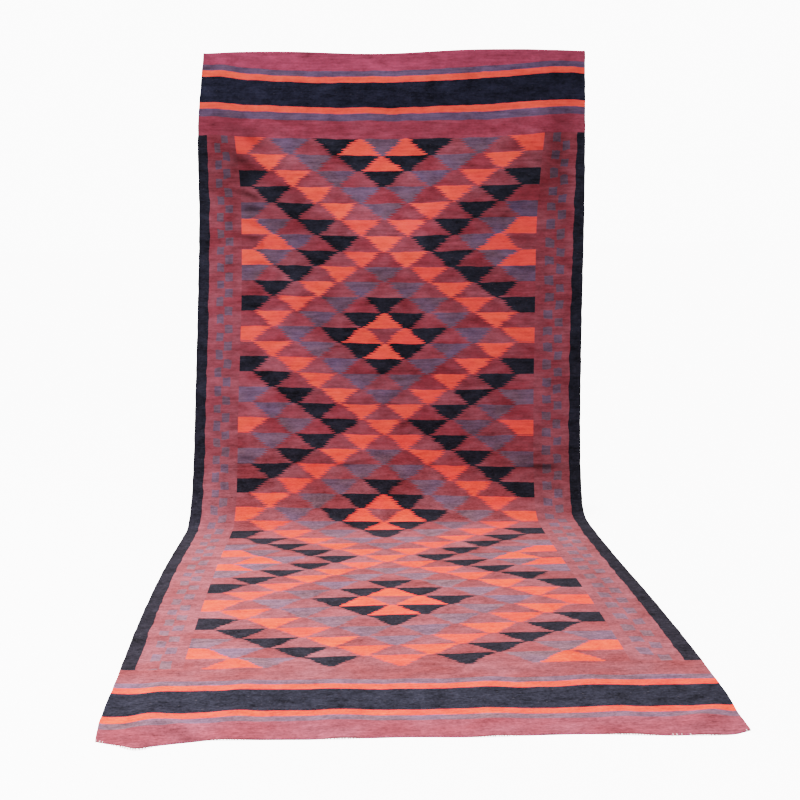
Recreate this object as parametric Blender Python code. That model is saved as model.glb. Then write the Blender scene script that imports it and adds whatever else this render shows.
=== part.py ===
"""A flat-woven kilim rug, hung by its top edge, with its lower end run out over the floor.

The rug is one woven cloth, so it is one closed sheet. Seen from the front, +X is to the right, +Y is away
from the viewer and +Z is up, in metres. The origin is on the floor, under the middle of the rug's box.

A place on the cloth is given by two numbers:
  across  from the left selvedge (0) to the right selvedge (1)
  along   distance along the cloth from the line where it leaves the floor, plus up the hanging part and
          minus out over the floor
"""

import bpy
import numpy as np

# Driving sizes, in metres.
THICKNESS = 0.003
SLACK = 0.118  # the radius at which the hanging cloth starts to lift off the floor
FOLD_RADIUS = 0.006  # the top end is turned back round this radius, to the middle of the cloth
TURNED_BACK = 0.045  # straight length of the end that hangs behind the fold
LYING_FLAT = 0.0005  # on the floor, a ridge lower than this lies flat

# Where the two selvedges lie.
SELVEDGES = (
    # along, left, right
    (2.10, -0.738, 0.912),
    (1.80, -0.773, 0.914),
    (1.40, -0.783, 0.910),
    (1.00, -0.803, 0.897),
    (0.60, -0.823, 0.881),
    (0.20, -0.836, 0.858),
    (0.00, -0.841, 0.841),
    (-0.40, -0.852, 0.837),
    (-0.80, -0.845, 0.846),
    (-1.20, -0.824, 0.845),
    (-1.50, -0.800, 0.832),
)

# Where the top fold and the near end lie, as distances along the cloth.
END_LINES = (
    # across, top fold, near end
    (0.00, 2.098, -1.470),
    (0.10, 2.104, -1.496),
    (0.18, 2.105, -1.489),
    (0.45, 2.093, -1.514),
    (0.72, 2.112, -1.539),
    (0.92, 2.110, -1.568),
    (1.00, 2.105, -1.556),
)

# Soft ridges (proud over 0) and troughs, each a bell in section that fades out towards both its ends.
FOLDS = (
    # x, along, turned from lengthwise (degrees), reach lengthwise, reach sideways, proud
    (0.785, 1.62, -5.0, 0.34, 0.050, -0.009),
    (0.700, 1.66, -5.0, 0.40, 0.060, 0.006),
    (-0.560, 1.86, 38.0, 0.22, 0.045, -0.006),
    (-0.660, 1.55, 4.0, 0.50, 0.050, 0.007),
    (0.080, 2.02, 90.0, 0.55, 0.160, 0.012),
    (0.000, 0.31, 89.0, 0.95, 0.016, -0.004),
    (-0.697, -1.42, 4.0, 0.26, 0.050, 0.007),
    (-0.470, -1.40, 2.0, 0.30, 0.060, 0.004),
    (-0.195, -1.42, -3.0, 0.28, 0.055, 0.005),
    (0.203, -1.44, 3.0, 0.30, 0.060, 0.005),
    (0.520, -1.46, -4.0, 0.30, 0.065, 0.005),
    (0.760, -1.50, 35.0, 0.16, 0.040, 0.005),
)

# How finely the sheet is divided.
COLUMNS = 26
FLOOR_ROWS = 15
BEND_ROWS = 13
HANGING_ROWS = 16
TURN_ROWS = 6
BEND_LENGTH = 0.45  # the stretch above the floor line that is divided more finely
SHARP_OVER = 50.0  # degrees between two faces, over which their edge is drawn sharp

MAROON = (0.305, 0.048, 0.066, 1.0)


def smooth(table, column, at):
    """Reads a table's column at the places `at` of its first column, on cubic pieces.

    Each piece is a Hermite cubic whose slope at a row is the slope between that row's two neighbours.
    """
    rows = np.array(sorted(table))
    place, value = rows[:, 0], rows[:, column]
    slope = np.gradient(value, place)
    low = np.clip(np.searchsorted(place, at) - 1, 0, len(place) - 2)
    width = place[low + 1] - place[low]
    share = np.clip((at - place[low]) / width, 0.0, 1.0)
    rise = share**2 * (3 - 2 * share)
    leave = share * (1 - share) ** 2 * width
    arrive = -(share**2) * (1 - share) * width
    return (
        value[low] * (1 - rise)
        + value[low + 1] * rise
        + slope[low] * leave
        + slope[low + 1] * arrive
    )


def side_path(along):
    """(y, z, direction) of the cloth seen from its side, by distance along it.

    On the floor it is straight. From the floor line up it is the curve of a hanging chain, whose slope
    there is along / SLACK.
    """
    up = np.maximum(along, 0.0)
    y = SLACK * np.arcsinh(up / SLACK) + np.minimum(along, 0.0)
    z = np.hypot(SLACK, up) - SLACK
    return y, z, np.arctan2(up, SLACK)


def turned_back(past, top):
    """(y, z, direction) of the cloth at the distance `past` beyond its fold, whose along is `top`.

    It turns back and down round FOLD_RADIUS through half a circle, and from there it is straight.
    """
    y, z, before = side_path(top)
    direction = before - np.minimum(past / FOLD_RADIUS, np.pi)
    straight = np.maximum(past - np.pi * FOLD_RADIUS, 0.0)
    y = y + FOLD_RADIUS * (np.sin(before) - np.sin(direction)) + straight * np.cos(direction)
    z = z + FOLD_RADIUS * (np.cos(direction) - np.cos(before)) + straight * np.sin(direction)
    return y, z, direction


def relief(x, along):
    """How far the folds stand out from the smooth sheet, towards the viewer or up."""
    out = np.zeros_like(x)
    for fold_x, fold_along, turned, reach_long, reach_wide, proud in FOLDS:
        angle = np.radians(turned)
        aside, ahead = x - fold_x, along - fold_along
        lengthwise = ahead * np.cos(angle) + aside * np.sin(angle)
        sideways = aside * np.cos(angle) - ahead * np.sin(angle)
        out += proud * np.exp(
            -((lengthwise / reach_long) ** 2) - (sideways / reach_wide) ** 2
        )
    return np.where(along < 0.0, np.maximum(out - LYING_FLAT, 0.0), out)


def rows_along(top, near):
    """The grid's distances along the cloth, a row for each line across, from the near end to the fold."""
    floor = np.linspace(1.0, 0.0, FLOOR_ROWS, endpoint=False)[:, None] * near
    bend = np.linspace(0.0, BEND_LENGTH, BEND_ROWS, endpoint=False)[:, None]
    hanging = np.linspace(0.0, 1.0, HANGING_ROWS + 1)[:, None]
    return np.concatenate(
        [floor, bend + 0.0 * near, BEND_LENGTH + hanging * (top - BEND_LENGTH)]
    )


def last_row_again(grid, times):
    """The grid with its last row repeated `times` more."""
    return np.concatenate([grid, np.repeat(grid[-1:], times, axis=0)])


def sheet_points():
    """(front, back): two grids of points, half the thickness to either side of the middle of the cloth."""
    across = np.linspace(0.0, 1.0, COLUMNS + 1)
    top = smooth(END_LINES, 1, across)
    near = smooth(END_LINES, 2, across)
    along = rows_along(top, near)
    left, right = smooth(SELVEDGES, 1, along), smooth(SELVEDGES, 2, along)
    x = left + (right - left) * across
    y, z, direction = side_path(along)

    turn = np.linspace(0.0, np.pi, TURN_ROWS + 1)[1:, None] * FOLD_RADIUS
    past = np.concatenate([turn, turn[-1:] + TURNED_BACK]) + 0.0 * top
    back_y, back_z, back_direction = turned_back(past, top)

    # Behind its fold the cloth is moved by the folds as its last row in front is, so it follows them.
    raised = last_row_again(relief(x, along), len(past))
    lean = last_row_again(direction, len(past))
    x = last_row_again(x, len(past))
    y = np.concatenate([y, back_y]) - np.sin(lean) * raised
    # The underside lies on z = 0, so the middle of the cloth is half its thickness above the floor.
    z = np.concatenate([z, back_z]) + np.cos(lean) * raised + THICKNESS / 2
    direction = np.concatenate([direction, back_direction])

    middle = np.stack([x, y, z], axis=-1)
    out = np.stack([0.0 * x, -np.sin(direction), np.cos(direction)], axis=-1)
    return middle + out * THICKNESS / 2, middle - out * THICKNESS / 2


def closed_sheet(name, front, back):
    """Makes the object: the front grid, the back grid turned over, and a strip round all four edges.

    Its points are moved so that the origin is on the floor, under the middle of its box.
    """
    rows, columns = front.shape[:2]
    number = np.arange(rows * columns).reshape(rows, columns)
    behind = number + rows * columns

    def quads(grid):
        return np.stack(
            [grid[:-1, :-1], grid[:-1, 1:], grid[1:, 1:], grid[1:, :-1]], axis=-1
        ).reshape(-1, 4)

    rim = np.concatenate(
        [number[0, :], number[1:, -1], number[-1, -2::-1], number[-2:0:-1, 0]]
    )
    rim_behind = rim + rows * columns
    strip = np.stack(
        [rim, rim_behind, np.roll(rim_behind, -1), np.roll(rim, -1)], axis=-1
    )
    faces = np.concatenate([quads(number), quads(behind)[:, ::-1], strip])
    points = np.concatenate([front.reshape(-1, 3), back.reshape(-1, 3)])

    low, high = points.min(axis=0), points.max(axis=0)
    points -= np.array([(low[0] + high[0]) / 2, (low[1] + high[1]) / 2, low[2]])

    mesh = bpy.data.meshes.new(name)
    mesh.from_pydata(points.tolist(), [], faces.tolist())
    mesh.shade_smooth()
    mesh.set_sharp_from_angle(angle=np.radians(SHARP_OVER))
    sheet = bpy.data.objects.new(name, mesh)
    bpy.context.scene.collection.objects.link(sheet)
    return sheet


def woven_wool(name, colour):
    """A matt woollen cloth of one colour."""
    material = bpy.data.materials.new(name)
    material.use_nodes = True
    shader = material.node_tree.nodes["Principled BSDF"]
    shader.inputs["Base Color"].default_value = colour
    shader.inputs["Roughness"].default_value = 0.9
    shader.inputs["Metallic"].default_value = 0.0
    return material


def main():
    for old in list(bpy.data.objects):
        bpy.data.objects.remove(old, do_unlink=True)
    front, back = sheet_points()
    kilim = closed_sheet("kilim", front, back)
    kilim.data.materials.append(woven_wool("woven_wool", MAROON))


main()
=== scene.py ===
# %% [markdown]
# # A flat-woven kilim, hung up and run out over the floor
#
# A kilim is one cloth. Coloured wool weft is packed over a plain warp, and every figure on it is woven in,
# so there is nothing to cut out or to stick on. The model follows that: one thin sheet with the hang of the
# real cloth, and one material that draws the figures from two counts a weaver would use, the row of the
# pattern and the step across it. The knots that lock the ends of the warp are the only other piece.
#
# The measured model is loaded first, because everything that is made here has to fit inside its box.

import bpy
import numpy as np
from mathutils import Matrix, Vector


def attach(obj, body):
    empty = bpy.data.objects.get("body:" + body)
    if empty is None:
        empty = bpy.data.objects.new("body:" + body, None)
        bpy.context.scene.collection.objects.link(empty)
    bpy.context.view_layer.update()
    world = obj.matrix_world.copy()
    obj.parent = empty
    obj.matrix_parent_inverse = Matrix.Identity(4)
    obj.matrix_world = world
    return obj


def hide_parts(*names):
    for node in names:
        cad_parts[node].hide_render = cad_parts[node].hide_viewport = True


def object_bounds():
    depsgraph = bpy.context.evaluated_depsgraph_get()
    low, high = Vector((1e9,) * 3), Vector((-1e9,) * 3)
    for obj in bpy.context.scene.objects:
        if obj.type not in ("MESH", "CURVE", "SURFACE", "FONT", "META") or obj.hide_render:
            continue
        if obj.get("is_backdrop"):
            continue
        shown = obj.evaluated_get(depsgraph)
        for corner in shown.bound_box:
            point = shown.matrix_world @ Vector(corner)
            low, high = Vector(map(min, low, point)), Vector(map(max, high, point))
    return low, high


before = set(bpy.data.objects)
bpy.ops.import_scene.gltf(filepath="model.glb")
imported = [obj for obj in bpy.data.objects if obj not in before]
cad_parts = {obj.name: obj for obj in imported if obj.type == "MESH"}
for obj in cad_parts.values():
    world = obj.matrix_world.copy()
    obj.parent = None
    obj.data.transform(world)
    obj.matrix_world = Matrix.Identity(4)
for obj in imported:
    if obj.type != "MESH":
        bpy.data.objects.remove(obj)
cad_low, cad_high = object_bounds()
print("measured model, corner to corner:", list(cad_low), list(cad_high))

# %% [markdown]
# ## The lie of the cloth
#
# The rug hangs by its folded top edge. Near the floor it swings forward on the curve of a hanging chain,
# and the rest lies flat. One could drape a square of cloth with a simulation, but then the edges would end
# up where the solver leaves them. Here the edges, the curve and the folds are known, so each is written
# down: short tables give the selvedges, the two end lines and the soft folds, and a smooth curve runs
# through each table's column.
#
# Two numbers name a place on the cloth: `across`, from 0 at the left selvedge to 1 at the right one, and
# `along`, in metres from the line where the cloth leaves the floor, plus up and minus out over the floor.

# %% Sizes of the cloth and its edges
THICKNESS = 0.003
WIDTH = 1.70  # as woven, selvedge to selvedge
SLACK = 0.118  # the radius at which the hanging cloth starts to lift off the floor
FOLD_RADIUS = 0.006  # the top end is turned back round this radius
TURNED_BACK = 0.045  # straight length of the end that hangs behind the fold
LYING_FLAT = 0.0005  # on the floor, a ridge lower than this lies flat
BEND_LENGTH = 0.45  # the stretch above the floor line that is divided more finely

SELVEDGES = (
    # along, left, right
    (2.10, -0.738, 0.912),
    (1.80, -0.773, 0.914),
    (1.40, -0.783, 0.910),
    (1.00, -0.803, 0.897),
    (0.60, -0.823, 0.881),
    (0.20, -0.836, 0.858),
    (0.00, -0.841, 0.841),
    (-0.40, -0.852, 0.837),
    (-0.80, -0.845, 0.846),
    (-1.20, -0.824, 0.845),
    (-1.40, -0.813, 0.837),
    (-1.50, -0.797, 0.827),
)

END_LINES = (
    # across, top fold, near end
    (0.00, 2.098, -1.470),
    (0.10, 2.104, -1.496),
    (0.18, 2.105, -1.489),
    (0.45, 2.093, -1.514),
    (0.72, 2.112, -1.539),
    (0.92, 2.110, -1.568),
    (1.00, 2.105, -1.556),
)

# %% Soft folds and small puckers
FOLDS = (
    # x, along, turned from lengthwise (degrees), reach lengthwise, reach sideways, proud
    (0.785, 1.62, -5.0, 0.34, 0.050, -0.009),
    (0.700, 1.66, -5.0, 0.40, 0.060, 0.006),
    (-0.560, 1.86, 38.0, 0.22, 0.045, -0.006),
    (-0.660, 1.55, 4.0, 0.50, 0.050, 0.007),
    (0.080, 2.02, 90.0, 0.55, 0.160, 0.012),
    (0.000, 0.31, 89.0, 0.95, 0.016, -0.004),
    (-0.697, -1.42, 4.0, 0.26, 0.050, 0.007),
    (-0.470, -1.40, 2.0, 0.30, 0.060, 0.004),
    (-0.195, -1.42, -3.0, 0.28, 0.055, 0.005),
    (0.203, -1.44, 3.0, 0.30, 0.060, 0.005),
    (0.520, -1.46, -4.0, 0.30, 0.065, 0.005),
    (0.760, -1.50, 35.0, 0.16, 0.040, 0.005),
)

PUCKERS = (
    # the same columns: the weft draws the cloth in beside the left edge of the field, about once a row
    (-0.545, 1.721, 114.0, 0.045, 0.013, -0.0030),
    (-0.580, 1.646, 110.0, 0.070, 0.013, -0.0036),
    (-0.576, 1.506, 112.0, 0.060, 0.014, -0.0036),
    (-0.550, 1.445, 102.0, 0.050, 0.012, -0.0024),
    (-0.562, 1.370, 108.0, 0.060, 0.013, -0.0032),
    (-0.570, 1.303, 104.0, 0.060, 0.012, -0.0028),
    (-0.582, 1.213, 102.0, 0.045, 0.012, -0.0018),
    (-0.568, 1.165, 101.0, 0.040, 0.011, -0.0018),
    # the crease that crosses the hanging part just above its bend
    (-0.480, 0.345, 88.0, 0.060, 0.010, -0.0030),
    (0.800, 0.290, 86.0, 0.080, 0.010, -0.0030),
    (-0.580, 0.808, 92.0, 0.070, 0.010, -0.0018),
    # the two near corners
    (-0.615, -1.420, 117.0, 0.090, 0.020, 0.0060),
    (0.700, -1.505, 67.0, 0.090, 0.020, 0.0050),
)

PAINTED_SHADING = (
    # the same columns, but the last is painted shade and light on the wool: darker by this share below 0,
    # lighter above
    # painted shade in the creases beside the left edge of the field, and a painted highlight on one of them
    (-0.590, 1.780, 100.0, 0.060, 0.028, -0.26),
    (-0.540, 1.735, 118.0, 0.050, 0.022, -0.44),
    (-0.587, 1.645, 118.0, 0.060, 0.022, -0.42),
    (-0.590, 1.530, 105.0, 0.050, 0.012, 0.26),
    (-0.562, 1.498, 112.0, 0.050, 0.012, -0.50),
    (-0.552, 1.440, 100.0, 0.045, 0.014, -0.48),
    (-0.545, 1.372, 112.0, 0.050, 0.013, -0.36),
    (-0.570, 1.316, 102.0, 0.055, 0.012, -0.48),
    (-0.515, 1.285, 10.0, 0.018, 0.007, -0.40),
    (-0.535, 1.208, 95.0, 0.060, 0.010, -0.34),
    (-0.580, 0.808, 91.0, 0.080, 0.009, -0.30),
    # painted shadow along the crease just above the bend
    (-0.605, 0.354, 100.0, 0.050, 0.009, -0.54),
    (-0.680, 0.318, 90.0, 0.090, 0.009, -0.14),
    (-0.165, 0.314, 86.0, 0.055, 0.010, -0.56),
    (0.190, 0.300, 90.0, 0.040, 0.010, -0.40),
    (0.690, 0.277, 91.5, 0.110, 0.011, -0.58),
    (0.050, 0.304, 92.2, 0.500, 0.008, -0.08),
    # painted shade in the fold near the right selvedge, painted light beside it and on the front of the top
    # fold
    (0.800, 1.640, -5.0, 0.300, 0.036, -0.30),
    (0.835, 1.790, 5.0, 0.070, 0.036, -0.22),
    (0.715, 1.800, 0.0, 0.070, 0.060, 0.20),
    (0.080, 2.060, 90.0, 0.450, 0.090, 0.10),
    # painted shade at the two upper corners and painted light between them; the shape has no such belly
    (-0.645, 1.590, 0.0, 0.180, 0.135, -0.37),
    (0.070, 1.390, 0.0, 0.200, 0.240, 0.29),
    (0.700, 1.440, 0.0, 0.220, 0.120, -0.14),
    # painted light for a soft ridge from each upper corner to the middle, painted shade for a hollow below
    (0.470, 1.740, 60.0, 0.260, 0.070, 0.22),
    (0.170, 1.510, 60.0, 0.120, 0.070, 0.15),
    (0.565, 1.420, 48.0, 0.200, 0.060, -0.18),
    (-0.270, 1.590, 127.0, 0.180, 0.070, 0.20),
    (-0.300, 1.330, 127.0, 0.280, 0.080, -0.14),
    (-0.690, 1.820, 0.0, 0.090, 0.060, -0.20),
    (0.220, 1.980, 90.0, 0.250, 0.040, 0.14),
    # broad patches where the wool is painted lighter or darker
    (-0.380, 1.400, 0.0, 0.120, 0.100, -0.12),
    (-0.380, 0.840, 0.0, 0.120, 0.110, 0.13),
    (0.040, 0.840, 0.0, 0.160, 0.110, -0.10),
    (-0.340, 0.290, 0.0, 0.090, 0.100, -0.10),
    (0.040, 0.290, 0.0, 0.085, 0.120, 0.22),
    (0.640, 0.300, 0.0, 0.100, 0.100, -0.12),
    (0.380, 0.200, 111.0, 0.200, 0.040, 0.14),
    (0.690, 0.000, 90.0, 0.130, 0.090, -0.12),
    (-0.700, -0.600, 0.0, 0.900, 0.300, 0.05),
    (0.740, -0.640, 0.0, 0.900, 0.400, -0.16),
    # painted shade and light on the folds at the two near corners
    (-0.592, -1.468, 125.0, 0.055, 0.015, -0.42),
    (-0.590, -1.425, 120.0, 0.090, 0.018, 0.16),
    (0.690, -1.500, 67.0, 0.090, 0.018, 0.12),
    (0.730, -1.535, 67.0, 0.080, 0.020, -0.26),
)

NEAR_MORE = (
    # across, how much further out the near end is pulled there than END_LINES says
    (0.000, 0.004),
    (0.035, 0.018),
    (0.063, 0.030),
    (0.090, 0.012),
    (0.150, 0.003),
    (0.220, 0.009),
    (0.370, 0.010),
    (0.440, 0.004),
    (0.600, 0.009),
    (0.700, 0.003),
    (0.850, 0.000),
    (0.910, 0.003),
    (0.945, 0.011),
    (0.975, 0.014),
    (1.000, 0.005),
)

# %% Reading a table, and the side view of the cloth
def smooth(table, column, at):
    """Reads a table's column at the places `at` of its first column, on cubic pieces.

    Each piece is a Hermite cubic whose slope at a row is the slope between that row's two neighbours.
    """
    rows = np.array(sorted(table))
    place, value = rows[:, 0], rows[:, column]
    slope = np.gradient(value, place)
    low = np.clip(np.searchsorted(place, at) - 1, 0, len(place) - 2)
    width = place[low + 1] - place[low]
    share = np.clip((at - place[low]) / width, 0.0, 1.0)
    rise = share**2 * (3 - 2 * share)
    leave = share * (1 - share) ** 2 * width
    arrive = -(share**2) * (1 - share) * width
    start = value[low] * (1 - rise) + slope[low] * leave
    return start + value[low + 1] * rise + slope[low + 1] * arrive


def side_path(along):
    """(y, z, direction) of the cloth seen from its side, by distance along it.

    On the floor it is straight. From the floor line up it is the curve of a hanging chain, whose slope
    there is along / SLACK.
    """
    up = np.maximum(along, 0.0)
    y = SLACK * np.arcsinh(up / SLACK) + np.minimum(along, 0.0)
    z = np.hypot(SLACK, up) - SLACK
    return y, z, np.arctan2(up, SLACK)


def turned_back(past, top):
    """(y, z, direction) of the cloth at the distance `past` beyond its fold, whose along is `top`.

    It turns back and down round FOLD_RADIUS through half a circle, and from there it is straight.
    """
    y, z, before = side_path(top)
    direction = before - np.minimum(past / FOLD_RADIUS, np.pi)
    straight = np.maximum(past - np.pi * FOLD_RADIUS, 0.0)
    y = y + FOLD_RADIUS * (np.sin(before) - np.sin(direction)) + straight * np.cos(direction)
    z = z + FOLD_RADIUS * (np.cos(direction) - np.cos(before)) + straight * np.sin(direction)
    return y, z, direction


def relief(folds, x, along):
    """How far the folds stand out from the smooth sheet.

    Each adds proud * exp(-(lengthwise / reach_long)**2 - (sideways / reach_wide)**2), a bell across the
    fold that also fades out towards both its ends.
    """
    out = np.zeros_like(x)
    for fold_x, fold_along, turned, reach_long, reach_wide, proud in folds:
        angle = np.radians(turned)
        aside, ahead = x - fold_x, along - fold_along
        lengthwise = ahead * np.cos(angle) + aside * np.sin(angle)
        sideways = aside * np.cos(angle) - ahead * np.sin(angle)
        out += proud * np.exp(-((lengthwise / reach_long) ** 2) - (sideways / reach_wide) ** 2)
    return out


# %% The middle of the cloth as a grid
def last_row_again(grid, times):
    """The grid with its last row repeated `times` more."""
    return np.concatenate([grid, np.repeat(grid[-1:], times, axis=0)])


def cloth_grid(across, floor_shares, bend_rows, hanging_rows, turn_rows, end_rows, folds, more, less):
    """The cloth as grids, a row for each line across it and a column for each value of `across`.

    `floor_shares` places its rows on the floor, from 1 at the near end down to 0. The other counts of rows
    are for the bend, the hanging part, the turn of the top fold and the end behind it. The near end reaches
    out beyond its line by `more`, and the top fold stays below its own by `less`. Returns (middle, out,
    distance): the middle of the cloth, the direction that faces out of its front, and the distance along
    the cloth, which goes on over the top fold and down behind it.
    """
    top = smooth(END_LINES, 1, across) - less
    near = smooth(END_LINES, 2, across) - more
    floor = floor_shares[:, None] * near
    bend = np.linspace(0.0, BEND_LENGTH, bend_rows, endpoint=False)[:, None] + 0.0 * near
    hanging = np.linspace(0.0, 1.0, hanging_rows + 1)[:, None] * (top - BEND_LENGTH) + BEND_LENGTH
    along = np.concatenate([floor, bend, hanging])
    left, right = smooth(SELVEDGES, 1, along), smooth(SELVEDGES, 2, along)
    x = left + (right - left) * across
    y, z, direction = side_path(along)
    raised = relief(folds, x, along)
    raised = np.where(along < 0.0, np.maximum(raised - LYING_FLAT, 0.0), raised)

    half_round = np.pi * FOLD_RADIUS
    turn = np.linspace(0.0, half_round, turn_rows + 1)[1:, None]
    end = half_round + np.linspace(0.0, TURNED_BACK, end_rows + 1)[1:, None]
    past = np.concatenate([turn, end]) + 0.0 * top
    back_y, back_z, back_direction = turned_back(past, top)

    raised = last_row_again(raised, len(past))
    lean = last_row_again(direction, len(past))
    x = last_row_again(x, len(past))
    y = np.concatenate([y, back_y]) - np.sin(lean) * raised
    z = np.concatenate([z, back_z]) + np.cos(lean) * raised + THICKNESS / 2
    direction = np.concatenate([direction, back_direction])
    distance = np.concatenate([along, top + past])

    middle = np.stack([x, y, z], axis=-1)
    out = np.stack([0.0 * x, -np.sin(direction), np.cos(direction)], axis=-1)
    return middle, out, distance


# %% [markdown]
# ### One origin for both models
#
# The measured model has its origin on the floor under the middle of its box. Its grid is coarse, so it is
# made once more here, only to find how far the cloth has to be moved to share that origin.


# %% Find the shared origin
def box_middle(points):
    """The middle of the points' box, on its lowest face."""
    flat = points.reshape(-1, 3)
    low, high = flat.min(axis=0), flat.max(axis=0)
    return np.array([(low[0] + high[0]) / 2, (low[1] + high[1]) / 2, low[2]])


coarse, coarse_out, _ = cloth_grid(
    across=np.linspace(0.0, 1.0, 27),
    floor_shares=np.linspace(1.0, 0.0, 15, endpoint=False),
    bend_rows=13,
    hanging_rows=16,
    turn_rows=6,
    end_rows=1,
    folds=FOLDS,
    more=0.0,
    less=0.0,
)
shell = np.stack([coarse + coarse_out * THICKNESS / 2, coarse - coarse_out * THICKNESS / 2])
ORIGIN = box_middle(shell)
print("origin of the measured model:", ORIGIN.round(4))
print("its box differs by", (shell.reshape(-1, 3).max(axis=0) - ORIGIN - np.array(cad_high)).round(5))

# %% [markdown]
# ## Counting the pattern
#
# The field is woven in 43 rows. In each row toothed triangles point down, and the gaps between them point
# up; from one row to the next they move half a repeat aside. A weaver counts rows and steps, so the
# material gets the same two counts at every point: `row` starts at 0 on top of the first row, and `step` is
# 0 on the middle line of the field and grows by 1 to each next triangle. A third count, `border`, runs from
# 0 at the nearer selvedge to 1 at the edge of the field.
#
# Hand weaving drifts: rows were beaten down unevenly and the field wanders a few millimetres. The drift
# could be left to noise in the material, but it is too smooth for that, so it is put in these tables.

# %% How the pattern drifts
ROWS = 43
ROW_LINE = 1.737  # the along of the top of the first row
LEFT_ROW, RIGHT_ROW = 0.0662, 0.0690  # height of a row at the left and the right edge of the field
LEFT_AT, RIGHT_AT = 0.096, 0.888  # the across of those two edges
ROW_EASE = 0.0145  # the first rows are this much taller than the last

DRIFT_AT = (0.04, 0.15, 0.48, 0.82, 0.95, 1.00)
ROW_DRIFT = (
    # even row, then what is added to it at each across of DRIFT_AT
    (-4.30, 0.54, 0.24, 0.00, 0.33, 0.50, 0.41),
    (-3.40, 0.49, 0.22, 0.00, 0.31, 0.50, 0.41),
    (-1.90, 0.44, 0.23, 0.00, 0.22, 0.39, 0.31),
    (-1.40, 0.39, 0.20, 0.00, 0.15, 0.36, 0.30),
    (1.0, 0.12, 0.07, -0.10, 0.10, 0.18, 0.14),
    (3.0, -0.01, -0.01, -0.08, 0.04, 0.08, 0.08),
    (5.0, -0.06, -0.07, -0.18, 0.01, 0.05, 0.05),
    (7.0, -0.03, -0.04, -0.23, -0.06, -0.02, -0.02),
    (9.0, -0.03, -0.04, -0.20, -0.12, -0.10, -0.10),
    (12.0, -0.02, -0.02, -0.15, -0.06, -0.04, -0.04),
    (15.0, 0.00, -0.01, -0.15, -0.06, -0.04, -0.04),
    (19.0, -0.05, -0.05, -0.09, -0.04, -0.02, -0.02),
    (22.0, -0.02, -0.02, 0.03, -0.02, -0.02, -0.02),
    (24.5, 0.05, 0.06, 0.03, -0.05, -0.08, -0.08),
    (26.0, -0.03, -0.03, -0.13, -0.26, -0.28, -0.28),
    (27.0, -0.31, -0.34, -0.58, -0.33, -0.30, -0.30),
    (28.0, -0.42, -0.41, -0.51, -0.31, -0.28, -0.28),
    (30.0, -0.35, -0.36, -0.42, -0.17, -0.12, -0.12),
    (32.0, -0.41, -0.44, -0.34, 0.03, 0.06, 0.06),
    (33.2, -0.33, -0.36, -0.04, 0.09, 0.10, 0.10),
    (35.0, -0.30, -0.30, 0.08, 0.06, 0.05, 0.05),
    (38.0, -0.46, -0.47, -0.05, 0.12, 0.14, 0.14),
    (40.0, -0.52, -0.53, -0.26, 0.18, 0.22, 0.22),
    (41.5, -0.50, -0.48, -0.14, 0.36, 0.41, 0.41),
    (44.5, -0.47, -0.27, 0.00, 0.32, 0.45, 0.45),
    (45.4, -0.55, -0.29, 0.00, 0.30, 0.45, 0.45),
    (46.9, -0.66, -0.35, 0.00, 0.32, 0.48, 0.48),
    (48.0, -0.86, -0.45, -0.03, 0.28, 0.45, 0.45),
)

FIELD = (
    # row, left edge, middle line, right edge, each as an across, then the steps added half-way out
    (0.0, 0.0920, 0.4693, 0.8940, -0.07),
    (2.0, 0.1020, 0.4710, 0.8840, -0.07),
    (5.0, 0.1065, 0.4736, 0.8745, -0.05),
    (10.0, 0.1100, 0.4776, 0.8750, 0.04),
    (18.0, 0.1090, 0.4828, 0.8760, 0.05),
    (26.0, 0.1130, 0.4889, 0.8775, 0.06),
    (34.0, 0.1130, 0.4892, 0.8800, 0.07),
    (42.0, 0.1070, 0.4796, 0.8780, 0.00),
)
LEFT_STEP, RIGHT_STEP = -6.48, 6.63  # the step at the two edges of the field

LEFT_SQUARES = (
    # row, number of the square of the left border whose middle is there
    (-0.90, -1.0),
    (0.18, 0.0),
    (5.45, 5.0),
    (11.05, 10.0),
    (16.90, 15.0),
    (22.55, 20.0),
    (29.65, 26.0),
    (36.70, 32.0),
    (42.60, 37.0),
    (44.00, 37.75),
)
RIGHT_SQUARES = (
    # the same, for the border at the right
    (-0.90, -1.0),
    (0.20, 0.0),
    (5.55, 5.0),
    (11.15, 10.0),
    (16.60, 15.0),
    (22.20, 20.0),
    (29.05, 26.0),
    (36.10, 32.0),
    (42.15, 37.0),
    (44.00, 38.5),
)


# %% From a place on the cloth to row, step and border
def share_of(number, at):
    """How much a value that is given at DRIFT_AT[number] counts at the across `at`."""
    return smooth([(place, float(i == number)) for i, place in enumerate(DRIFT_AT)], 1, at)


def square_count(across, row):
    """How many squares of the border lie above a row."""
    return np.where(across < 0.5, smooth(LEFT_SQUARES, 1, row), smooth(RIGHT_SQUARES, 1, row))


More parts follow.
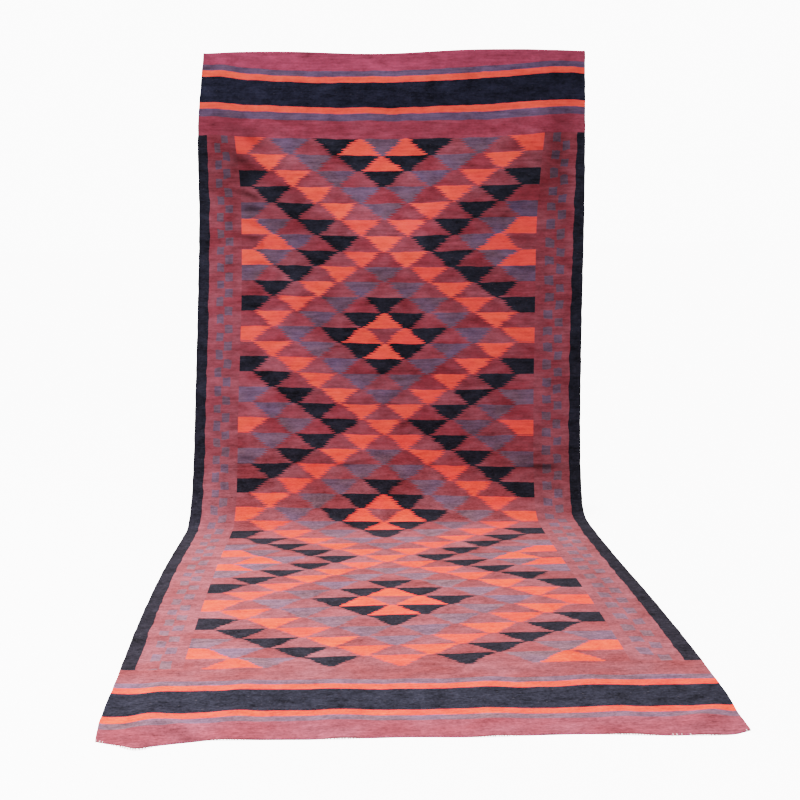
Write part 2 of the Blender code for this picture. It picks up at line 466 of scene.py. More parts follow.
def pattern_counts(across, distance):
    """(step, row, border) for each place on the cloth.

    The even row count solves ROW_LINE - distance = height * (row + ease * (row - row**2 / ROWS)), and the
    drift is added to it. The step solves offset = a * step + b * step**2, where offset is the across from
    the middle line, and a and b put the two edges of the field at LEFT_STEP and RIGHT_STEP. A sine adds the
    last column of FIELD half-way out to each side.
    """
    share = (across - LEFT_AT) / (RIGHT_AT - LEFT_AT)
    height = LEFT_ROW + (RIGHT_ROW - LEFT_ROW) * share
    down = (ROW_LINE - distance) / height
    first, second = 1 + ROW_EASE, ROW_EASE / ROWS
    even = 2 * down / (first + np.sqrt(first**2 - 4 * second * down))
    drifts = [smooth(ROW_DRIFT, i + 1, even) * share_of(i, across) for i in range(len(DRIFT_AT))]
    row = even + sum(drifts)

    left, middle, right = (smooth(FIELD, column, row) for column in (1, 2, 3))
    to_left, to_right = (left - middle) / LEFT_STEP, (right - middle) / RIGHT_STEP
    bend = (to_right - to_left) / (RIGHT_STEP - LEFT_STEP)
    rate = to_left - bend * LEFT_STEP
    offset = across - middle
    step = 2 * offset / (rate + np.sqrt(rate**2 + 4 * bend * offset))
    step = step + smooth(FIELD, 4, row) * np.sin(np.pi * step / RIGHT_STEP)
    border = np.minimum(across / left, (1 - across) / (1 - right))
    return step, row, border


# %% [markdown]
# ## The sheet
#
# A plane with a Solidify modifier would do for the thickness. The cloth is made as a closed grid instead,
# because its edge isn't even: along both selvedges the weft turns round a thicker cord, which stands a
# little proud of the front and rounds the edge off. The underside stays flat where it lies on the floor.

# %% Lay out the fine grid
COLUMN = 0.0168  # between two columns
FIRST_COLUMN = 0.022  # from the edge to the first of the even columns
FLOOR_ROWS, BEND_ROWS, HANGING_ROWS, TURN_ROWS, END_ROWS = 130, 52, 214, 8, 4
TOP_LESS = 0.006  # the fold is pressed a little flatter than the measured sheet's

edge_columns = np.array([0.0, 0.0007, 0.002, 0.004, 0.006, 0.009, 0.014]) / WIDTH
inner_columns = np.linspace(FIRST_COLUMN, WIDTH - FIRST_COLUMN, int(WIDTH / COLUMN)) / WIDTH
across = np.concatenate([edge_columns, inner_columns, 1 - edge_columns[::-1]])
near_rows = np.array([1.0, 0.9990, 0.9975])  # close together, so that the near end can be rounded off
even_rows = np.linspace(0.9945, 0.0, FLOOR_ROWS, endpoint=False)
middle, out, distance = cloth_grid(
    across=across,
    floor_shares=np.concatenate([near_rows, even_rows]),
    bend_rows=BEND_ROWS,
    hanging_rows=HANGING_ROWS,
    turn_rows=TURN_ROWS,
    end_rows=END_ROWS,
    folds=FOLDS + PUCKERS,
    more=smooth(NEAR_MORE, 1, across),
    less=TOP_LESS,
)
step, row, border = pattern_counts(across, distance)
print("columns and rows:", middle.shape[1], middle.shape[0])
print("rows of pattern from end to end:", row.min().round(2), row.max().round(2))


# %% Give it its thickness
CORD = 0.0040  # how far in from the edge the selvedge cord is highest
CORD_PROUD = 0.0014
CORD_OUTSIDE = 0.0022  # how far the cord stands outside the measured edge
EDGE_ROUND, END_ROUND = 0.0020, 0.0040  # how far in the selvedges and the near end are rounded off
THINNEST = 0.2  # what is left of the thickness at the very edge, as a share
SCALLOP = 0.0011  # how far the selvedge moves in and out where the weft pulls it
SCALLOP_REACH = 0.030  # how far in from the edge that is felt
SCALLOP_WAVES = ((0.061, 0.0), (0.097, 1.3), (0.173, 2.1))  # length of each wave, where it starts
SIDES_APART = 0.4  # the two selvedges have the same wave, this much ahead and this much behind


def scalloped(distance):
    """A small uneven wave along the selvedge: the mean of three sines whose lengths share no factor."""
    waves = [np.sin(2 * np.pi * distance / length + start) for length, start in SCALLOP_WAVES]
    return sum(waves) / len(waves)


inward = np.minimum(across, 1 - across) * WIDTH
from_end = distance - distance[0]
rounding = np.sqrt(1 - (1 - np.minimum(inward / EDGE_ROUND, 1.0)) ** 2)
end_rounding = np.sqrt(1 - (1 - np.minimum(from_end / END_ROUND, 1.0)) ** 2)
near_thinness = np.maximum(end_rounding, THINNEST)
half_thickness = THICKNESS / 2 * np.maximum(rounding, THINNEST) * near_thinness
cord = CORD_PROUD * np.exp(-(((inward - CORD) / CORD) ** 2)) * rounding * end_rounding
# painted shading: how much darker or lighter the wool is painted in creases, on folds and in broad patches
painted_shading = relief(PAINTED_SHADING, middle[..., 0], distance)

at_edge = np.exp(-((inward / SCALLOP_REACH) ** 2)) * np.sign(0.5 - across)
middle[..., 0] += SCALLOP * at_edge * scalloped(distance + SIDES_APART * np.sign(across - 0.5))
middle[..., 0] -= CORD_OUTSIDE * at_edge
# the near end is thinner, and lies on the floor all the same
middle[..., 2] -= THICKNESS / 2 * (1 - near_thinness)
middle = middle - ORIGIN
front = middle + out * (half_thickness + cord)[..., None]
back = middle - out * half_thickness[..., None]
thin, thick = 2 * half_thickness.min(), 2 * half_thickness.max()
print("thickness at the corners and in the middle:", thin.round(5), thick.round(5))

# %% Join front, back and rim into one closed mesh
def mesh_object(name, points, faces):
    """A smooth-shaded object from an array of points and one of quads."""
    mesh = bpy.data.meshes.new(name)
    mesh.from_pydata(points.tolist(), [], faces.tolist())
    mesh.shade_smooth()
    made = bpy.data.objects.new(name, mesh)
    bpy.context.scene.collection.objects.link(made)
    return made


def grid_quads(number):
    """The quads between neighbours of a grid of vertex numbers."""
    corners = [number[:-1, :-1], number[:-1, 1:], number[1:, 1:], number[1:, :-1]]
    return np.stack(corners, axis=-1).reshape(-1, 4)


number = np.arange(across.size * len(middle)).reshape(len(middle), across.size)
rim = np.concatenate([number[0, :], number[1:, -1], number[-1, -2::-1], number[-2:0:-1, 0]])
rim_behind = rim + number.size
strip = np.stack([rim, rim_behind, np.roll(rim_behind, -1), np.roll(rim, -1)], axis=-1)
faces = np.concatenate([grid_quads(number), grid_quads(number + number.size)[:, ::-1], strip])
points = np.concatenate([front.reshape(-1, 3), back.reshape(-1, 3)])
cloth = mesh_object("woven_cloth", points, faces)
print("triangles of the cloth:", 2 * len(faces))


# %% Write the counts onto the cloth
def write_vectors(mesh, name, values):
    """Stores one vector for each point of the mesh, where a material can read it by name."""
    layer = mesh.attributes.new(name, "FLOAT_VECTOR", "POINT")
    layer.data.foreach_set("vector", values.astype(np.float32).ravel())


def both_sides(*grids):
    """Three grids as one vector for each point, first for the front and then again for the back."""
    one_side = np.stack(np.broadcast_arrays(*grids), axis=-1).reshape(-1, 3)
    return np.concatenate([one_side, one_side])


write_vectors(cloth.data, "counts", both_sides(step, row, border))
# the painted shading goes to the material as an attribute of its own
write_vectors(cloth.data, "painted_shading", both_sides(painted_shading, painted_shading, painted_shading))
write_vectors(cloth.data, "place", both_sides(across * WIDTH, distance, square_count(across, row)))
print("shade of the worn places, darkest and lightest:", painted_shading.min().round(2), painted_shading.max().round(2))

# %% [markdown]
# ## Shader sums in Python
#
# The figures are drawn by arithmetic on the two counts. In the node editor that would be some 250 nodes to
# wire by hand, and 160 more for the wool. Here a small class stands for a socket that carries a number, and
# the usual Python signs add the nodes, so that the rule of the pattern can be read as a rule.


# %% A number that varies over the surface
class Varying:
    """A number that changes over the surface: a node's output with Python's arithmetic on it."""

    def __init__(self, graph, socket):
        self.graph, self.socket = graph, socket

    def sum(self, operation, *others):
        return self.graph.node("ShaderNodeMath", {"operation": operation}, [self, *others])

    def __add__(self, other):
        return self.sum("ADD", other)

    def __mul__(self, other):
        return self.sum("MULTIPLY", other)

    def __sub__(self, other):
        return self.sum("SUBTRACT", other)

    def __rsub__(self, other):
        return self.graph.node("ShaderNodeMath", {"operation": "SUBTRACT"}, [other, self])

    def __truediv__(self, other):
        return self.sum("DIVIDE", other)

    def __mod__(self, other):
        return self.sum("FLOORED_MODULO", other)

    def __gt__(self, other):
        return self.sum("GREATER_THAN", other)

    def __lt__(self, other):
        return self.sum("LESS_THAN", other)

    def __abs__(self):
        return self.sum("ABSOLUTE")

    def __round__(self):
        return self.sum("ROUND")

    def floor(self):
        return self.sum("FLOOR")

    def fraction(self):
        return self.sum("FRACT")

    def near(self, value):
        """1 where this number is within a half of `value`, and 0 elsewhere."""
        return self.sum("COMPARE", value, 0.5)

    def between(self, low, high):
        return (self > low) * (self < high)

    def clamped(self, low, high):
        return self.sum("MAXIMUM", low).sum("MINIMUM", high)

    def ramp(self, start, end):
        """0 up to `start`, 1 from `end` on, and straight in between."""
        return ((self - start) / (end - start)).clamped(0, 1)

    __radd__, __rmul__ = __add__, __mul__


# %% A material's nodes
class Graph:
    """The node tree of one material."""

    def __init__(self, name):
        self.material = bpy.data.materials.new(name)
        self.material.use_nodes = True
        self.tree = self.material.node_tree
        self.shader = self.tree.nodes["Principled BSDF"]

    def put(self, socket, value):
        """Links a varying number to a socket, or sets the socket to a plain value."""
        if isinstance(value, Varying):
            self.tree.links.new(value.socket, socket)
        else:
            socket.default_value = value

    def node(self, kind, settings, values, output=0):
        """Adds a node, sets it, fills its sockets by order or by name, and returns one of its outputs."""
        made = self.tree.nodes.new(kind)
        for name, value in settings.items():
            setattr(made, name, value)
        pairs = values.items() if isinstance(values, dict) else enumerate(values)
        for socket, value in pairs:
            self.put(made.inputs[socket], value)
        return Varying(self, made.outputs[output])

    def attribute(self, name):
        """The three numbers of an attribute that is stored on the mesh."""
        vector = self.node("ShaderNodeAttribute", {"attribute_name": name}, {}, "Vector")
        split = self.tree.nodes.new("ShaderNodeSeparateXYZ")
        self.put(split.inputs[0], vector)
        return [Varying(self, socket) for socket in split.outputs]

    def vector(self, x, y, z):
        return self.node("ShaderNodeCombineXYZ", {}, [x, y, z])

    def noise(self, at, scale, detail):
        """Smooth noise about 0, with features about 1 / scale long."""
        values = {"Vector": at, "Scale": scale, "Detail": detail}
        return self.node("ShaderNodeTexNoise", {}, values) - 0.5

    def chance(self, x, y, z=0.0):
        """A number from -0.5 to 0.5 that is the same all over one whole-numbered place."""
        values = {"Vector": self.vector(x, y, z)}
        return self.node("ShaderNodeTexWhiteNoise", {"noise_dimensions": "3D"}, values) - 0.5

    def mix(self, share, one, other):
        """A colour between `one` (share 0) and `other` (share 1)."""
        settings = {"data_type": "RGBA", "clamp_factor": True}
        return self.node("ShaderNodeMix", settings, {0: share, 6: one, 7: other}, 2)

    def tinted(self, colour, strength):
        """The colour times a number."""
        settings = {"operation": "SCALE"}
        return self.node("ShaderNodeVectorMath", settings, {0: colour, "Scale": strength})


# %% [markdown]
# ## The wool
#
# First the figures. A row's triangles that point down keep a simple rule: count the rows to the nearest
# middle of a large diamond and add the steps from the middle line, and rings of black, violet and orange
# follow each other outwards. Those that point up are ground, except close round a middle, where they are
# orange. The diagonal edges are woven in small teeth, because every turn of the weft round a warp thread
# has to be a step aside.

# %% Read the counts
WANDER = 0.2  # how far the lines of the pattern wander, in rows and in steps

wool = Graph("woven_wool")
step_at, row_at, border_at = wool.attribute("counts")
width_at, length_at, square_at = wool.attribute("place")


def uneven(wide, tall, part, detail=2.0):
    """Smooth noise about 0 over the cloth, its features `wide` metres across it and `tall` along it.

    Each `part` is another piece of the same endless noise.
    """
    return wool.noise(wool.vector(width_at / wide, length_at / tall, part), 1.0, detail)


row_at = row_at + uneven(1 / 9, 1 / 5, 4.0) * WANDER
step_at = step_at + uneven(1 / 5, 1 / 9, 14.0) * WANDER
in_rows = row_at.between(0.0, float(ROWS))
in_field = in_rows * (border_at > 1.0)

# %% Taller blocks at the edges of the field
TALLER, LEFT_TALLER = 0.05, 0.09  # how far such a block reaches out of its row, and how much more at the left
BLOCKS_FROM = 5.2  # the step at which the blocks begin, to either side
LAST_TALLER = 39.5  # they get taller from row 30 to row 36, and from this row on they are even again

at_edges = abs(step_at).ramp(BLOCKS_FROM, BLOCKS_FROM + 1)
in_tall_rows = row_at.ramp(30, 36) * (row_at < LAST_TALLER)
taller = at_edges * in_tall_rows * (TALLER + (step_at < 0) * LEFT_TALLER)
woven_row = row_at + (row_at * np.pi).sum("COSINE") * taller
row_number = woven_row.floor()
within_row = woven_row.fraction()
print("nodes that count rows and steps:", len(wool.tree.nodes))

# %% The toothed triangles
TEETH = 7
WIDE, NARROW = 0.88, 0.10  # half the width of a triangle at its base and at its tip, in steps
SPIKE, LAST_SPIKE = 0.23, 0.13  # how far a tooth runs out, in the first rows and in the last
SPIKES_DIFFER = 0.7  # how much one tooth is longer than another, as a share of that
FULLER = 0.05  # how much wider the black triangles came out, and how much narrower the orange ones
OUTERMOST = 6  # the last triangle before the edge of the field, which goes on as a block
REPEAT = 12  # rows from one middle of a diamond to the next

held_step = step_at.clamped(-OUTERMOST, OUTERMOST)
odd = row_number % 2
down_step = round((held_step - odd) / 2) * 2 + odd
up_step = round((held_step - odd - 1) / 2) * 2 + odd + 1
rows_off = abs((row_number + REPEAT / 2) % REPEAT - REPEAT / 2)
ring = abs(down_step) + rows_off
turn = (ring / 2) % 3  # 0 where the ring is orange, 1 where it is black, 2 where it is violet

last_rows = row_at.ramp(25.2, 31.2)
spike = SPIKE - last_rows * (SPIKE - LAST_SPIKE)
fuller = (turn.near(1.0) - turn.near(0.0)) * FULLER * (1 - last_rows * 0.9)  # hardly so in the last rows
tooth = (within_row * TEETH).floor()
within_tooth = (within_row * TEETH).fraction()
side = held_step > down_step
unlike = wool.chance(down_step + side * 0.5, row_number * TEETH + tooth) * SPIKES_DIFFER
point = abs(within_tooth * 2 - 1) - 0.5  # highest on the line between two teeth
half_width = WIDE - within_row * (WIDE - NARROW) + (point + unlike) * spike + fuller
points_down = abs(held_step - down_step) < half_width
print("rows of teeth on a triangle:", TEETH)

# %% Which colour each triangle has
up_ring = abs(up_step) + rows_off
plain_crossing = row_number.between(16.5, 19.5)  # the one crossing at the edge without a small diamond
edge_diamond = 1 - plain_crossing  # a block of ground with orange round it
ground_block = ring.near(REPEAT) * edge_diamond
down_field = in_field * points_down
up_field = in_field * (1 - points_down)
black_mask = down_field * turn.near(1.0)
# a middle itself is ground, but in the first row it is violet
violet_mask = down_field * (turn.near(2.0) + row_number.near(0.0) * ring.near(0.0))
orange_down = turn.near(0.0) * (ring > 1.0) * (1 - ground_block)
orange_up = up_ring.near(1.0) + up_ring.near(REPEAT - 1) * edge_diamond * (rows_off > 4.5)
orange_mask = down_field * orange_down + up_field * orange_up
print("nodes with the triangles:", len(wool.tree.nodes))

# %% [markdown]
# Each side border has a black band along the selvedge and two columns of little violet squares, set like
# the bricks of a wall. Both ends of the rug have the same stripes across their full width.

# %% Borders and end stripes
BAND = 0.243  # the black band's inner edge, as a border
SQUARES = (
    # side (-1 left, 1 right), from, to, how far down the column starts, in squares
    (-1, 0.43, 0.59, 0.47),
    (-1, 0.62, 0.80, 0.00),
    (1, 0.41, 0.58, 0.45),
    (1, 0.63, 0.82, 0.00),
)
SQUARE_HIGH = 0.50  # the share of a column that is violet
BORDER_WAVE, SQUARE_WAVE = 0.09, 0.5  # how far their edges wander, as a border and in squares
RIGHT_NARROWER = 0.05  # how much nearer the selvedge the right ones are in row 0, fading out to row 12

in_border = in_rows * (border_at < 1.0)
right_side = step_at > 0
narrower = right_side * (1 - row_at.ramp(0, 12)) * RIGHT_NARROWER
border_at = border_at + uneven(1 / 3, 1 / 14, 6.0) * BORDER_WAVE + narrower
in_band = in_border * (border_at < BAND)
black_mask = black_mask + in_band
square_at = square_at + uneven(1 / 14, 1 / 9, 8.0) * SQUARE_WAVE
for side_sign, inner, outer, start in SQUARES:
    on_side = right_side if side_sign > 0 else 1 - right_side
    in_square = (square_at - start + SQUARE_HIGH / 2).fraction() < SQUARE_HIGH
    column = in_border * on_side * border_at.between(inner, outer)
    violet_mask = violet_mask + column * in_square

# from and to, in rows: below 0 they are above the field, and over 43 they are at the near end
VIOLET_STRIPES = ((-4.14, -3.79), (-1.51, -1.07), (44.12, 44.50), (46.87, 47.22))
ORANGE_STRIPES = ((-3.79, -3.43), (-1.88, -1.51), (44.50, 44.90), (46.49, 46.87))
BLACK_STRIPES = ((-3.43, -1.88), (44.90, 46.49))
for start, end in VIOLET_STRIPES:
    violet_mask = violet_mask + row_at.between(start, end)
for start, end in ORANGE_STRIPES:
    orange_mask = orange_mask + row_at.between(start, end)
for start, end in BLACK_STRIPES:
    black_mask = black_mask + row_at.between(start, end)
print("nodes with the borders and stripes:", len(wool.tree.nodes))

# %% [markdown]
# Then the wool itself. Hand-dyed yarn changes shade from one hank to the next, so every figure differs a
# little, and each pass of weft shows as a fine streak across. Half-way down the rug the weaver went over to
# wool of a second dyeing, which is a little browner. The dark wool has pale hairs and specks in it, and
# some of the ground triangles are a dustier rose.

# %% The kinds of unevenness, each about 0
hank = down_step * points_down + up_step * (1 - points_down)
batch = wool.chance(hank, row_number, 3.0) * in_field
dye = wool.chance(hank, row_number, 23.0) * in_field
strand = 11 + hank * 3.7 * in_field + in_band * 5  # each figure has its own weft
patch = uneven(0.40, 0.30, 7.0, 1.0)
tone = uneven(0.16, 0.090, 9.0, 3.0)
blotch = uneven(0.055, 0.028, 1.0)
streak = uneven(0.120, 0.010, strand)
heather = uneven(0.014, 0.006, 5.0, 1.0)
grain = uneven(0.0055, 0.0050, 17.0, 1.0)
fleck = uneven(0.013, 0.0045, 15.0, 1.0) > 0.24
later = row_at.ramp(17.5, 27.5)  # how much of the wool comes from the second dyeing
# the painted shading of creases, folds and broad patches, read back from the mesh
painted_shading_at, _, _ = wool.attribute("painted_shading")
print("nodes with the noises:", len(wool.tree.nodes))

# %% How much each kind shades the wool
# Each share starts as it is in coloured wool of the first dyeing. `later` and `black_mask` change it for
# the second dyeing and for black wool.
broad = patch * 0.4 + batch * 0.24 + tone * (0.65 + black_mask * 0.5)
fine = (
    blotch * (0.9 + black_mask * 0.6)
    + streak * (0.85 - later * 0.2)
    + heather * (0.5 + later * 0.5 + black_mask * 0.6)
    + grain * (0.1 + later * 0.45 + black_mask * 0.4)
)
evened = 1 - later * 0.4  # the second dyeing took more evenly
calmer = 1 - orange_mask * 0.25  # orange wool shows less of all this
# the last factor is the painted shade and light of creases, folds and broad patches
shade = (1 + calmer * (broad * evened + fine)) * (1 + painted_shading_at)

# %% Colours
# Each yarn has one colour in its first dyeing and one in its second.
ROSE = (0.276, 0.064, 0.096, 1.0)
GROUND = ((0.189, 0.042, 0.053, 1.0), (0.194, 0.050, 0.051, 1.0))
DUSTY = ((0.197, 0.063, 0.077, 1.0), (0.200, 0.068, 0.074, 1.0))
ORANGE = ((0.830, 0.106, 0.075, 1.0), (0.990, 0.083, 0.054, 1.0))
BRICK = ((0.720, 0.083, 0.068, 1.0), (0.880, 0.070, 0.052, 1.0))
VIOLET = ((0.100, 0.071, 0.117, 1.0), (0.116, 0.074, 0.103, 1.0))
PLUM = ((0.113, 0.071, 0.092, 1.0), (0.134, 0.078, 0.089, 1.0))
BLACK = ((0.0200, 0.0212, 0.0300, 1.0), (0.0168, 0.0160, 0.0212, 1.0))
NAVY = ((0.0186, 0.0205, 0.0330, 1.0), (0.0182, 0.0192, 0.0270, 1.0))
PALE = (0.120, 0.108, 0.118, 1.0)


def yarn(share, one, other):
    """A colour between two yarns, each with its first and its second dyeing."""
    return wool.mix(share, wool.mix(later, *one), wool.mix(later, *other))


above_field = row_at < 0
dustier = in_border * row_at.ramp(0, 20) - above_field
# the share of the second yarn, a half on average
dusty = (tone * 3 + dye * 0.7 + 0.5 + dustier * 0.35).clamped(0, 1)
bluer = (tone * 2.5 + dye * 0.4 + 0.5 + above_field * 0.5 - in_border * 0.2).clamped(0, 1)
# the ground is rosier above the field, most of all at the top end, and a little so at the near end
rosy = above_field * 0.38 + (row_at < -2) * 0.52 + (row_at > 46.87) * 0.2
colour = wool.mix(rosy, yarn(dusty, GROUND, DUSTY), ROSE)
colour = wool.mix(orange_mask, colour, yarn(dusty, ORANGE, BRICK))
colour = wool.mix(violet_mask, colour, yarn(bluer, PLUM, VIOLET))
colour = wool.mix(black_mask, colour, yarn(in_rows, NAVY, BLACK))
colour = wool.tinted(colour, shade.clamped(0.25, 2.1))
colour = wool.mix(fleck * (0.10 + black_mask * 0.25), colour, PALE)  # pale hairs and specks

# %% [markdown]
# The weft hides the warp, but each warp thread still shows as a rib along the rug, one every few
# millimetres. In the mesh they would take millions of faces. A Bump node only bends the light as if they
# were there, and that is enough for a relief under a millimetre.

# %% The weave in relief
WARP_PITCH = 0.0034  # between two ribs of the warp
WEFT_PITCH = 0.0011

rib = (width_at * (2 * np.pi / WARP_PITCH)).sum("COSINE")
weft = (length_at * (2 * np.pi / WEFT_PITCH)).sum("COSINE")
height = rib * 0.5 + rib * weft * 0.2 + streak * 0.8
settings = {"Strength": 0.35, "Distance": 0.0006, "Height": height}
relief_normal = wool.node("ShaderNodeBump", {}, settings)
roughness = 0.86 + streak * 0.25

wool.put(wool.shader.inputs["Base Color"], colour)
wool.put(wool.shader.inputs["Roughness"], roughness)
wool.put(wool.shader.inputs["Normal"], relief_normal)
wool.shader.inputs["Specular IOR Level"].default_value = 0.06
wool.shader.inputs["Sheen Weight"].default_value = 0.02
wool.shader.inputs["Sheen Roughness"].default_value = 0.5
cloth.data.materials.append(wool.material)
print("nodes in the wool:", len(wool.tree.nodes))

# %% [markdown]
# ## The knots of the warp ends
#
# When the rug comes off the loom its warp threads are tied off along the end, a few at a time. The knots
# lie tight against the last weft, and only here and there, mostly at the corners, do the cut threads stick
# out. Each is a small closed body: circles whose radius swells at the knot and tapers along the threads.

# %% Tie the knots
KNOT_PITCH = 0.0075
KNOT_RADIUS = 0.0016
TUFTS = (
    # across, how far the cut threads stick out
    (0.000, 0.006),
    (0.015, 0.002),
    (0.050, 0.002),
    (0.065, 0.006),
    (0.085, 0.004),
    (0.100, 0.000),
    (0.860, 0.000),
    (0.885, 0.004),
    (0.925, 0.004),
    (0.945, 0.000),
    (0.985, 0.000),
    (1.000, 0.005),
)
LOOSE = 0.0025  # where they stick out more than this, knots lie on the edge and some are undyed
KNOT_LENGTH = 0.004  # without the threads that stick out
TUCKED, LOOSE_TUCKED = 0.002, 0.0035  # how far back from the edge they begin, tight ones and loose ones
RAISED = 0.0014  # how much higher a loose one begins than it ends
RING_SHARE = np.array([0.0, 0.05, 0.22, 0.42, 0.7, 1.0])  # places along a knot, from cloth to tip
RING_RADIUS = np.array([0.0, 0.8, 1.0, 0.55, 0.6, 0.0])  # radius there, over KNOT_RADIUS
AROUND = 6

rng = np.random.default_rng(11)
knots = int(WIDTH / KNOT_PITCH)
knot_across = (np.arange(knots) + 0.5 + rng.uniform(-0.25, 0.25, knots)) / knots
edge = np.stack([np.interp(knot_across, across, front[0, :, axis]) for axis in (0, 1)], axis=-1)
tuft = np.interp(knot_across, *np.array(TUFTS).T)
long = tuft * rng.uniform(0.6, 1.3, knots) + KNOT_LENGTH
loose = (tuft > LOOSE)[:, None, None]
heading = rng.normal(0.0, 0.35, knots)
share = RING_SHARE[None, :, None]
radius = KNOT_RADIUS * RING_RADIUS[None, :, None] * rng.uniform(0.7, 1.1, knots)[:, None, None]
angle = (2 * np.pi * np.arange(AROUND) / AROUND)[None, None, :]
reach = long[:, None, None] * share - np.where(loose, LOOSE_TUCKED, TUCKED)
ahead = heading[:, None, None]
knot_x = edge[:, 0, None, None] + np.sin(ahead) * reach + np.cos(ahead) * radius * np.cos(angle)
knot_y = edge[:, 1, None, None] - np.cos(ahead) * reach + np.sin(ahead) * radius * np.cos(angle)
knot_z = KNOT_RADIUS * 1.1 + RAISED * loose * (1 - share) + radius * np.sin(angle)
knot_points = np.stack(np.broadcast_arrays(knot_x, knot_y, knot_z), axis=-1)

rings = RING_SHARE.size
first = np.arange(knots * rings * AROUND).reshape(knots, rings, AROUND)
after = np.roll(first, -1, axis=2)
sides = [first[:, :-1], after[:, :-1], after[:, 1:], first[:, 1:]]
knot_faces = np.stack(sides, axis=-1).reshape(-1, 4)
warp_ends = mesh_object("warp_ends", knot_points.reshape(-1, 3), knot_faces)
shades = np.repeat(rng.uniform(0.0, 1.0, knots) * (tuft > LOOSE), rings * AROUND)
write_vectors(warp_ends.data, "shade", np.stack([shades] * 3, axis=-1))
print("knots:", knots, "of them loose:", int((tuft > LOOSE).sum()))

# %% Close their tips
import bmesh

shell_mesh = bmesh.new()
shell_mesh.from_mesh(warp_ends.data)
bmesh.ops.remove_doubles(shell_mesh, verts=shell_mesh.verts, dist=1e-6)
bmesh.ops.recalc_face_normals(shell_mesh, faces=shell_mesh.faces)
shell_mesh.to_mesh(warp_ends.data)
shell_mesh.free()
print("faces of all knots:", len(warp_ends.data.polygons))

# %% Undyed and stained threads
COTTON = (0.58, 0.50, 0.50, 1.0)
STAINED = (0.30, 0.09, 0.16, 1.0)

thread = Graph("warp_thread")
shade_at, _, _ = thread.attribute("shade")
fuzz = thread.noise(thread.node("ShaderNodeTexCoord", {}, {}, "Object"), 900.0, 2.0)
thread_colour = thread.mix(shade_at > 0.45, STAINED, COTTON)
thread_colour = thread.tinted(thread_colour, 1.0 + fuzz * 0.5)
thread.put(thread.shader.inputs["Base Color"], thread_colour)
thread.put(thread.shader.inputs["Roughness"], 0.9 + fuzz * 0.2)
bump = thread.node("ShaderNodeBump", {}, {"Strength": 0.4, "Distance": 0.0004, "Height": fuzz})
thread.put(thread.shader.inputs["Normal"], bump)
warp_ends.data.materials.append(thread.material)
print("nodes in the thread:", len(thread.tree.nodes))

# %% [markdown]
# ## One sheet in place of the measured one
#
# Both pieces ride on the rug's only body and hide the measured sheet, which they stand for.

# %% Both pieces take the measured sheet's place
for piece in (cloth, warp_ends):
    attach(piece, "root")
    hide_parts("kilim")
print("length of the sheet along its middle:", np.ptp(distance[:, across.size // 2]).round(3))

# %% [markdown]
# ## Floor, light and camera
#
# The floor is pale and plain. A bright, even sky gives the soft light of a studio. Most of the light comes
# from overhead, from a lamp as broad as a soft box, so that the part on the floor is much lighter than the
# hanging part. A second box stands at the left, and the cloth gets a little darker away from it. The floor
# is white because it glows, so it must not light the cloth from below: only the camera sees it. The camera
# stands where its view fits the real rug's outline and rows.

# %% The floor
FLOOR = 40.0  # from the middle to each side
FLOOR_BELOW = 0.0004  # so that it never flickers through the underside of the cloth

corners = np.array([[-1, -1, 0], [1, -1, 0], [1, 1, 0], [-1, 1, 0]]) * FLOOR
ground_plane = mesh_object("floor", corners - [0, 0, FLOOR_BELOW], np.array([[0, 1, 2, 3]]))
paint = Graph("floor_paint")
paint.shader.inputs["Base Color"].default_value = (0.90, 0.90, 0.90, 1.0)
paint.shader.inputs["Roughness"].default_value = 0.9
paint.shader.inputs["Specular IOR Level"].default_value = 0.1
paint.shader.inputs["Emission Color"].default_value = (1.0, 1.0, 1.0, 1.0)
paint.shader.inputs["Emission Strength"].default_value = 2.5
ground_plane.data.materials.append(paint.material)
ground_plane.visible_diffuse = False
ground_plane.visible_glossy = False
ground_plane.visible_shadow = False
ground_plane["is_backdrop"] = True
print("side of the floor:", 2 * FLOOR)

# %% The light
SKY = 0.76
BACKDROP = 5.0  # the sky as the camera sees it, so that it is as white as the floor
OVERHEAD = 6.15  # watts per square metre
OVERHEAD_TINT = (1.0, 0.955, 0.96)
OVERHEAD_TILT, OVERHEAD_WIDE = np.radians([-10.0, 9.0])  # how it leans, and how broad it looks from the rug
BOX_AT, BOX_TO = np.array([-3.2, -1.5, 1.2]), np.array([0.0, 0.6, 0.7])
BOX_SIZE = 1.2
BOX_WATTS = 120.0

world = bpy.data.worlds.new("studio")
world.use_nodes = True
sky = world.node_tree.nodes
background = sky["Background"]
seen = sky.new("ShaderNodeLightPath")
strength = sky.new("ShaderNodeMapRange")
strength.inputs["To Min"].default_value = SKY
strength.inputs["To Max"].default_value = BACKDROP
world.node_tree.links.new(seen.outputs["Is Camera Ray"], strength.inputs["Value"])
world.node_tree.links.new(strength.outputs["Result"], background.inputs["Strength"])
background.inputs["Color"].default_value = (1.0, 1.0, 1.0, 1.0)
bpy.context.scene.world = world
bpy.context.scene.view_settings.view_transform = "Filmic"
bpy.context.scene.view_settings.look = "High Contrast"

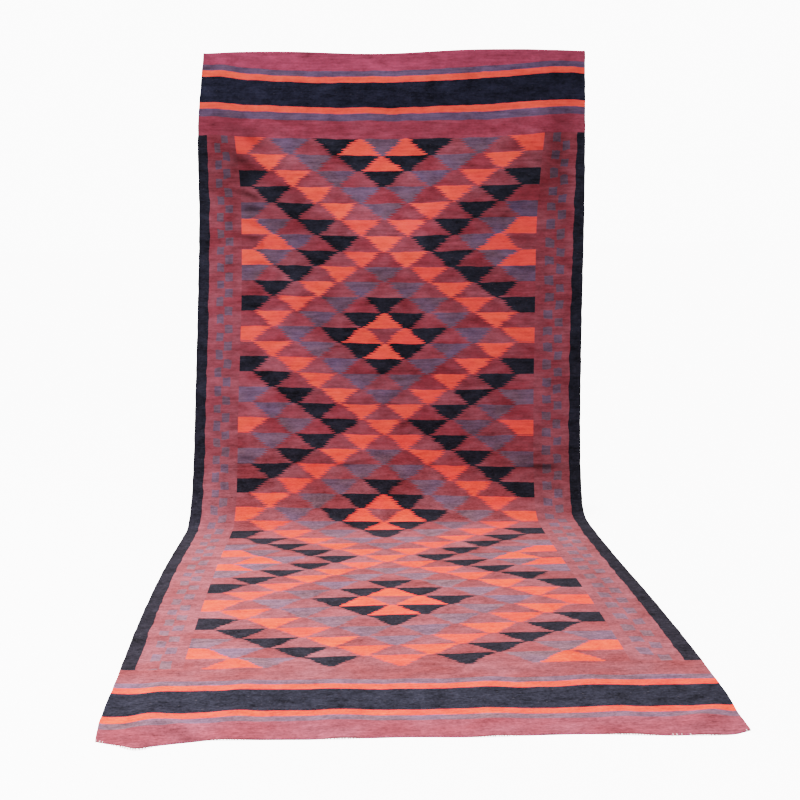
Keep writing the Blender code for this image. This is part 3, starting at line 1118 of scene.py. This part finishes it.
overhead = bpy.data.lights.new("overhead", "SUN")
overhead.energy, overhead.angle, overhead.color = OVERHEAD, OVERHEAD_WIDE, OVERHEAD_TINT
overhead_object = bpy.data.objects.new("overhead", overhead)
overhead_object.rotation_euler = (OVERHEAD_TILT, 0.0, 0.0)
soft_box = bpy.data.lights.new("soft_box", "AREA")
soft_box.energy, soft_box.size = BOX_WATTS, BOX_SIZE
box_object = bpy.data.objects.new("soft_box", soft_box)
box_object.location = BOX_AT.tolist()
box_object.rotation_euler = Vector((BOX_TO - BOX_AT).tolist()).to_track_quat("-Z", "Y").to_euler()
box_object.visible_camera = False
for lamp_object in (overhead_object, box_object):
    bpy.context.scene.collection.objects.link(lamp_object)
    print("lamp:", lamp_object.name, lamp_object.data.energy)

# %% The camera
CAMERA_AT = np.array([-0.1531, -3.512, 1.2697])  # measured from the floor line's middle
TURNED_RIGHT, PITCHED_DOWN, ROLLED = np.radians([3.43, 9.0, -0.8])
LENS_MM = 39.3
SHIFT_UP = -0.0518

right = np.array([np.cos(TURNED_RIGHT), -np.sin(TURNED_RIGHT), 0.0])
level = np.array([np.sin(TURNED_RIGHT), np.cos(TURNED_RIGHT), 0.0])
upward = np.array([0.0, 0.0, 1.0])
forward = level * np.cos(PITCHED_DOWN) - upward * np.sin(PITCHED_DOWN)
above = level * np.sin(PITCHED_DOWN) + upward * np.cos(PITCHED_DOWN)
rolled_right = right * np.cos(ROLLED) + above * np.sin(ROLLED)
rolled_up = above * np.cos(ROLLED) - right * np.sin(ROLLED)

camera_data = bpy.data.cameras.new("camera")
camera_data.lens = LENS_MM
camera_data.shift_y = SHIFT_UP
camera = bpy.data.objects.new("camera", camera_data)
turned = Matrix(np.stack([rolled_right, rolled_up, -forward], axis=1).tolist())
camera.matrix_world = Matrix.Translation((CAMERA_AT - ORIGIN).tolist()) @ turned.to_4x4()
bpy.context.scene.collection.objects.link(camera)
bpy.context.scene.camera = camera
print("camera at", (CAMERA_AT - ORIGIN).round(3))

new_low, new_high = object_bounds()
boxes = {"cad": [list(cad_low), list(cad_high)], "visual": [list(new_low), list(new_high)]}
print("visual model, corner to corner:", list(new_low), list(new_high))
